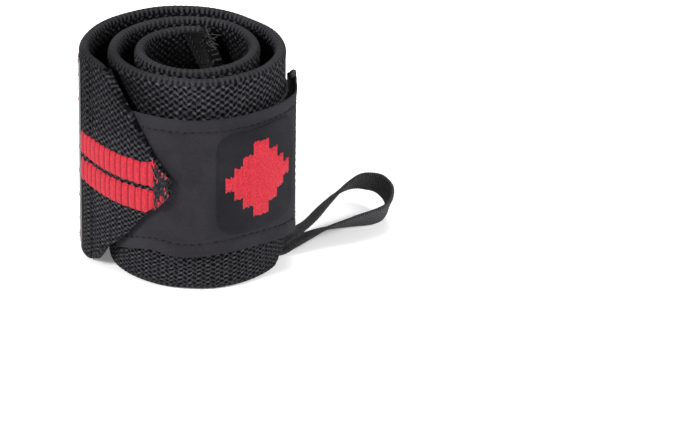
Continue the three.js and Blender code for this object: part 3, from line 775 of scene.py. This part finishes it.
def stripe(name, start, stop, side, at_tip, replaces):
    """A woven stripe of upright ribs, rounded across and pinched between; side is 1 for the upper one."""
    a = spaced(start, stop, .35, 34.5)
    r = band_radius(a)
    length = running(np.radians(np.diff(a)) * r[1:])
    rng = np.random.default_rng(int(start) + (7 if side > 0 else 8))
    marks = [0.0]
    while marks[-1] < length[-1] + 4:
        marks.append(marks[-1] + 2.75 * rng.uniform(.86, 1.12))
    marks = np.array(marks)
    i = np.clip(np.searchsorted(marks, length, side="right") - 1, 0, len(marks) - 2)
    k = (length - marks[i]) / (marks[i + 1] - marks[i])
    rib = np.clip(1 - np.abs(2 * k - 1) ** 2.4, 0, 1)
    bright = rng.uniform(.75, 1, len(marks))[i]
    # the ribs reach out at the stripe's outer edge and draw back at the gap between the two stripes
    outward, inward = .05 + .24 * rib, .34 * rib - .42
    middle = MIDDLE + side * STRIPE_SPACING / 2 + .12 * wave(length, 0 * length, 31, 5)
    upper = middle + STRIPE_HALF + (outward if side > 0 else inward)
    lower = middle - STRIPE_HALF - (outward if side < 0 else inward)
    if at_tip:
        # the stripe flares and is cut off by the slopes of the tapered end
        flare, margin = .9 * ease((a - 962) / 7), .9
        upper, lower = (upper + flare, lower) if side > 0 else (upper, lower - flare)
        upper = np.minimum(upper, BAND_WIDTH * straight(OUTLINE, a, 1) - margin)
        lower = np.maximum(lower, BAND_WIDTH * straight(OUTLINE, a, 2) + margin)
    across = np.linspace(-1, 1, 15)
    points, weave = (np.zeros((len(a), len(across) + 2, 3)) for _ in range(2))
    for j, q in enumerate(across, 1):
        z = (upper + lower) / 2 + (upper - lower) / 2 * q
        crown = (1 - abs(q) ** 5) * (.2 + .38 * rib)
        points[:, j] = at(a, r + .06 + crown, z)
        weave[:, j] = np.stack([length, z, rib * bright], -1)
    for j, z in ((0, lower), (-1, upper)):
        points[:, j] = at(a, r - .35, z)
    weave[:, 0], weave[:, -1] = weave[:, 1], weave[:, -2]
    build(name, points, loops(*points.shape[:2]), RED, {"weave": weave}, replaces)


stripe("red_ribs_upper_back", patch_end + 1, label_start - .3, 1, False, ("stripe_upper_back",))
stripe("red_ribs_lower_back", patch_end + 1, label_start - .3, -1, False, ("stripe_lower_back",))
stripe("red_ribs_upper_front", label_end + .3, 971.5, 1, True, ("stripe_upper_front",))
stripe("red_ribs_lower_front", label_end + .3, 970, -1, True, ("stripe_lower_front",))


def band_face(a):
    return band_radius(a) + .05


def tack():
    """The dense zigzag that holds the tip down: mostly black, with red and dark red at its border."""
    rng = np.random.default_rng(41)
    # the thickness, material and slot of each kind of thread, and its lines
    kinds = {
        "tack_black": (.00034, BLACK_THREAD, "knit_elastic", []),
        "tack_grey": (.00027, FRAY_THREAD, "knit_elastic", []),
        "tack_red": (.00027, RED_THREAD, "red_stripe", []),
        "tack_dark_red": (.00027, DARK_RED_THREAD, "red_stripe", []),
    }
    n_stitches, first, last, end = 230, 969.8, 976.6, 977.4
    q = np.linspace(0, 1, 6)
    for _ in range(n_stitches):
        a0 = rng.uniform(first, last)
        low, high = (BAND_WIDTH * straight(OUTLINE, a0, column) for column in (2, 1))
        z0 = rng.uniform(low + .3, high - .3)
        z = z0 + rng.uniform(1.6, 4.2) * (q - .5)
        a = np.minimum(a0 + rng.normal() * q, end)
        low, high = BAND_WIDTH * straight(OUTLINE, a, 2) + .2, BAND_WIDTH * straight(OUTLINE, a) - .2
        lift = .15 + .75 * np.sin(np.pi * q) * rng.uniform(.5, 1.1)
        border = min(abs(z0 - low[0]), abs(high[0] - z0)) < 1.9 or abs(a0 - 970.2) < .5
        black_share = .32 if z0 < low[0] + 2.8 else .5 if border else .93
        if rng.random() < black_share:
            kind = "tack_grey" if 973.4 < a0 < 975.6 and rng.random() < .4 else "tack_black"
        else:
            kind = "tack_red" if rng.random() < .5 else "tack_dark_red"
        kinds[kind][-1].append(at(a, band_face(a) + lift, np.clip(z, low, high)))
    for kind, (thickness, material, slot, lines) in kinds.items():
        threads(kind, lines, thickness, material, slot)


tack()


def seam_rows():
    """Two upright rows of stitching where the corners are folded in, broken at the stripes."""
    lines = []
    rng = np.random.default_rng(17)
    q = np.linspace(0, 1, 4)
    for a in (913.2, 919.5):
        for z in np.arange(2.5, 73.5, 2.7):
            if not 28.6 < z + 1 < 48.2:
                aside = np.degrees(.1 * rng.normal() / 36)
                lines.append(at(a + aside, band_face(a) - .05 + .2 * np.sin(np.pi * q), z + 2.0 * q))
    threads("corner_seams", lines, .0002, SEAM_THREAD, "knit_elastic")


seam_rows()


def corner_fold(name, low_column, high_column):
    """One corner of the band, folded behind its tapered end."""
    fold_angles = spaced(930, 973, 1.0, 33)
    outer = band_radius(fold_angles) - band_thickness(fold_angles) + .25
    inner = band_radius(fold_angles) - smooth(END_LAYERS, fold_angles, 2) * BAND_THICKNESS
    low, high = (BAND_WIDTH * straight(FOLDS, fold_angles, column) for column in (low_column, high_column))
    section = around(16, 4)
    points, weave, zone = (np.zeros((len(fold_angles), len(section), 3)) for _ in range(3))
    c = np.minimum((outer - inner) / 2, .4 * (high - low))
    for j, (side, k) in enumerate(section):
        radius, z = thin_section(side, k, inner, outer, low, high, c)
        points[:, j] = at(fold_angles, radius, z)
        weave[:, j] = np.stack([run(fold_angles) / KNIT_COLUMN, row_phase(z), 0 * z], -1)
        # the folded corners lie behind the tapered end: they take the inner faces' wider gaps and a painted
        # shade of .3
        zone[:, j] = 0, 0, .3
    faces = loops(len(fold_angles), len(section))
    build(name, points, faces, KNIT, {"weave": weave, "zone": zone})


corner_fold("corner_fold_upper", 2, 1)
corner_fold("corner_fold_lower", 4, 3)


def binding():
    """The tape folded round the slanted inner end: one U-shaped outline per height."""
    legs, bend, stand, bulge, gap = 8, 8, .95, 1.3, .05
    out_leg = [k / legs for k in range(legs + 1)]
    points, weave = [], []
    for z in BOUND_HEIGHTS:
        edge = float(slant_angle(z))
        centre = float(turn_radius(edge)) - BAND_THICKNESS / 2
        fray = .25 * math.sin(z * 1.9) + .2 * math.sin(z * 4.3)
        back = edge + math.degrees((BINDING_REACH + fray) / centre)

        def leg(shares, offset):
            angles = [edge + (back - edge) * q for q in shares]
            return [(a, float(turn_radius(a)) + offset) for a in angles]

        outer = leg(out_leg[::-1], stand)
        outer[0] = (outer[0][0], outer[0][1] - .25 * stand)
        for k in range(1, bend):
            turn = math.pi * k / bend
            a = edge - math.degrees(bulge * math.sin(turn) / centre)
            outer.append((a, centre + (stand + BAND_THICKNESS / 2) * math.cos(turn)))
        outer += leg(out_leg, -BAND_THICKNESS - stand)
        inner = leg(out_leg[::-1], -BAND_THICKNESS - gap) + leg(out_leg, gap)
        points.append([at(a, r, z) for a, r in outer + inner])
        weave.append([(k * .9, z, 0) for k in range(len(outer))] + [(0, z, 0)] * len(inner))
    points, weave = np.array(points), np.array(weave)
    n, m = points.shape[:2]
    faces = loops(n, m, caps=False)
    # each end is closed leg by leg, because its outline is a U
    count = len(outer)
    facing = [m - 1 - round(k * (m - count - 1) / (count - 1)) for k in range(count)]
    for base, turned in ((0, True), ((n - 1) * m, False)):
        for k in range(count - 1):
            quad = [k, k + 1, facing[k + 1], facing[k]]
            face = [base + q for i, q in enumerate(quad) if q not in quad[:i]]
            faces.append(tuple(face[::-1] if turned else face))
    return build(
        "end_binding_tape", points, faces, BINDING_CLOTH, {"weave": weave}, ("end_binding",))


binding_tape = binding()


def end_threads():
    """Ladder stitches over the binding's edge, stitches along its legs, loose threads at its corner."""
    rungs, rows, loose = [], [], []
    rng = np.random.default_rng(23)
    q, u = np.linspace(0, 1, 8), np.linspace(0, 1, 4)
    for z in np.arange(8.0, 73.5, 1.75):
        edge = float(slant_angle(z))
        centre = float(turn_radius(edge)) - BAND_THICKNESS / 2
        a = edge + np.degrees((1.6 * np.abs(2 * q - 1) ** 3 - 1.65 * np.sin(np.pi * q)) / centre)
        radius = turn_radius(edge) + 1.1 - (BAND_THICKNESS + 2.2) * q
        rungs.append(at(a, radius, z + .4 * rng.normal() * q))
        for offset, bow in ((-BAND_THICKNESS - 1.05, -.15), (1.0, .15)):
            angle = edge + np.degrees((5.4 + .15 * rng.normal()) / centre)
            rows.append(at(angle, turn_radius(angle) + offset + bow * np.sin(np.pi * u), z + 1.3 * u))
    for knot_a, z, count, reach in ((66.0, 71.5, 30, 1.5), (57.0, 65.5, 22, 1.2), (70.0, 74.0, 12, 1.9)):
        top = at(knot_a, turn_radius(knot_a) - 2.2, z) * 1000
        share = np.linspace(0, 1, 9)[:, None]
        for _ in range(count):
            start = top + rng.normal(size=3) * (.8, .8, 1.1)
            way = rng.normal(size=3) * (.9, .8, 1.0) + (.3, -.4, -.3)
            swing = rng.uniform(.5, 1.1) * reach
            turn = rng.uniform(0, 6.28)
            curl = np.array([math.cos(turn), math.sin(turn), .4]) * np.sin(share * 4.2) * .55
            loose.append((start + way * share * swing + curl) / 1000)
    threads("ladder_stitches", rungs, .00021, RUNG_THREAD, "binding_tape")
    threads("binding_stitches", rows, .0002, SEAM_THREAD, "binding_tape")
    threads("loose_threads", loose, .00017, FRAY_THREAD, "binding_tape", 4)


end_threads()


def strap():
    """The thumb loop's strap with its raised hems, and its length."""
    index = np.arange(len(STRAP), dtype=float)
    table = np.column_stack([index, STRAP])
    steps = np.arange(0, len(STRAP) - 1 + 1e-9, .08)

    def middle(t):
        u, v = smooth(table, t, 1) * LOOP_REACH, smooth(table, t, 2) * LOOP_OPENING
        x = ROOT[0] + HEADING_X * u - HEADING_Y * v + AXIS[0]
        y = ROOT[1] + HEADING_Y * u + HEADING_X * v + AXIS[1]
        return np.stack([x, y, smooth(table, t, 3) * STRAP_WIDTH], -1)

    mid = middle(steps)
    tangent = middle(np.minimum(steps + .05, len(STRAP) - 1)) - middle(np.maximum(steps - .05, 0))
    tangent /= np.linalg.norm(tangent, axis=1, keepdims=True)
    lean = np.radians(smooth(table, steps, 4))
    across = np.stack([HEADING_Y * np.cos(lean), -HEADING_X * np.cos(lean), np.sin(lean)], -1)
    across -= (across * tangent).sum(1, keepdims=True) * tangent
    across /= np.linalg.norm(across, axis=1, keepdims=True)
    normal = np.cross(tangent, across)
    length = running(np.linalg.norm(np.diff(mid, axis=0), axis=1))
    places = [k / 10 - .5 for k in range(11)]
    section = [(p, .5) for p in places] + [(.53, 0)] + [(p, -.5) for p in places[::-1]] + [(-.53, 0)]
    points, weave = (np.zeros((len(steps), len(section), 3)) for _ in range(2))
    for j, (p, q) in enumerate(section):
        hem = .24 * q if abs(abs(p) - .4) < .05 else 0
        points[:, j] = (mid + across * (p * STRAP_WIDTH * .96) + normal * ((q + hem) * STRAP_T)) / 1000
        weave[:, j] = np.stack([length, np.full(len(steps), p * STRAP_WIDTH), 0 * length], -1)
    faces = loops(len(steps), len(section))
    piece = build(
        "thumb_loop_strap", points, faces, STRAP_CLOTH, {"weave": weave}, ("thumb_loop",))
    return piece, float(length[-1])


thumb_strap, strap_length = strap()


def cut_area(length, width):
    """Area in square metres of a sheet whose width in millimetres changes along its length."""
    return float(np.sum(np.diff(length) * (width[1:] + width[:-1]) / 2)) / 1e6


tab_run = along(tab_angles, tab_radius(tab_angles) + TAB_T / 2)
hook_run = along(hook_angles, tab_radius(hook_angles) - .4)
cut_area(along(emblem_angles, tab_face(emblem_angles)), EMBLEM_HEIGHT - 2 * corner)
bound_a = slant_angle(BOUND_HEIGHTS)
bound_line = at(bound_a, turn_radius(bound_a) - BAND_THICKNESS / 2, BOUND_HEIGHTS) * 1000

# the pale floor
mesh = bpy.data.meshes.new("floor")
mesh.from_pydata([(-3, -3, -.0002), (3, -3, -.0002), (3, 3, -.0002), (-3, 3, -.0002)], [], [(0, 1, 2, 3)])
floor = bpy.data.objects.new("floor", mesh)
bpy.context.scene.collection.objects.link(floor)
floor_look = Nodes("floor")
floor_look.colour((1, 1, 1))
floor_look.shader.inputs["Emission Color"].default_value = (1, 1, 1, 1)
floor_look.shader.inputs["Emission Strength"].default_value = .18
floor_look.finish(.95)
mesh.materials.append(floor_look.mat)


def set_up(piece, place, x, y, z):
    """Puts a light or the camera at a place, with its own axes along x, y and z."""
    bpy.context.scene.collection.objects.link(piece)
    piece.matrix_world = Matrix([(x[i], y[i], z[i], place[i]) for i in range(3)] + [(0, 0, 0, 1)])


def area_light(name, place, size, power):
    """A soft round light that shines at the middle of the roll."""
    light = bpy.data.lights.new(name, "AREA")
    light.shape, light.size, light.energy = "DISK", size, power
    place = Vector(place)
    z = (place - Vector((AXIS[0] / 1000, AXIS[1] / 1000, .04))).normalized()
    x = Vector((0, 0, 1)).cross(z).normalized()
    set_up(bpy.data.objects.new(name, light), place, x, z.cross(x), z)


area_light("key", (-1.35, -1.0, 1.05), .6, 44)
area_light("fill", (1.2, -.95, 1.1), .8, 27)
area_light("back", (.1, .8, 1.4), .8, 10)
world = bpy.data.worlds.new("studio")
bpy.context.scene.world = world
world.use_nodes = True
world.node_tree.nodes["Background"].inputs[0].default_value = (1, 1, 1, 1)
world.node_tree.nodes["Background"].inputs[1].default_value = .34

# The camera stands 1.5 m from the roll's foot, 26.4 degrees above it, and is turned so that the
# foot lies at FOOT_X, FOOT_Y in a picture of WIDTH by HEIGHT pixels, counted from its upper left.
ELEVATION, DISTANCE, PX_PER_MM = math.radians(26.4), 1.5, 2.95
WIDTH, HEIGHT, FOOT_X, FOOT_Y = 680, 427, 190.6, 251.0
FOCAL_PX = PX_PER_MM * DISTANCE * 1000
foot = Vector((AXIS[0] / 1000, AXIS[1] / 1000, 0))
toward = Vector((0, math.cos(ELEVATION), -math.sin(ELEVATION)))
right0 = Vector((1, 0, 0))
up0 = right0.cross(toward)
place = foot - toward * DISTANCE
forward = (toward * FOCAL_PX + right0 * (WIDTH / 2 - FOOT_X) + up0 * (FOOT_Y - HEIGHT / 2)).normalized()
right = (right0 - forward * right0.dot(forward)).normalized()
up = right.cross(forward)
optics = bpy.data.cameras.new("camera")
optics.sensor_width = 36
optics.lens = FOCAL_PX * optics.sensor_width / WIDTH
optics.clip_end = 20
camera = bpy.data.objects.new("camera", optics)
set_up(camera, place, right, up, -forward)
bpy.context.scene.camera = camera

bpy.context.view_layer.update()
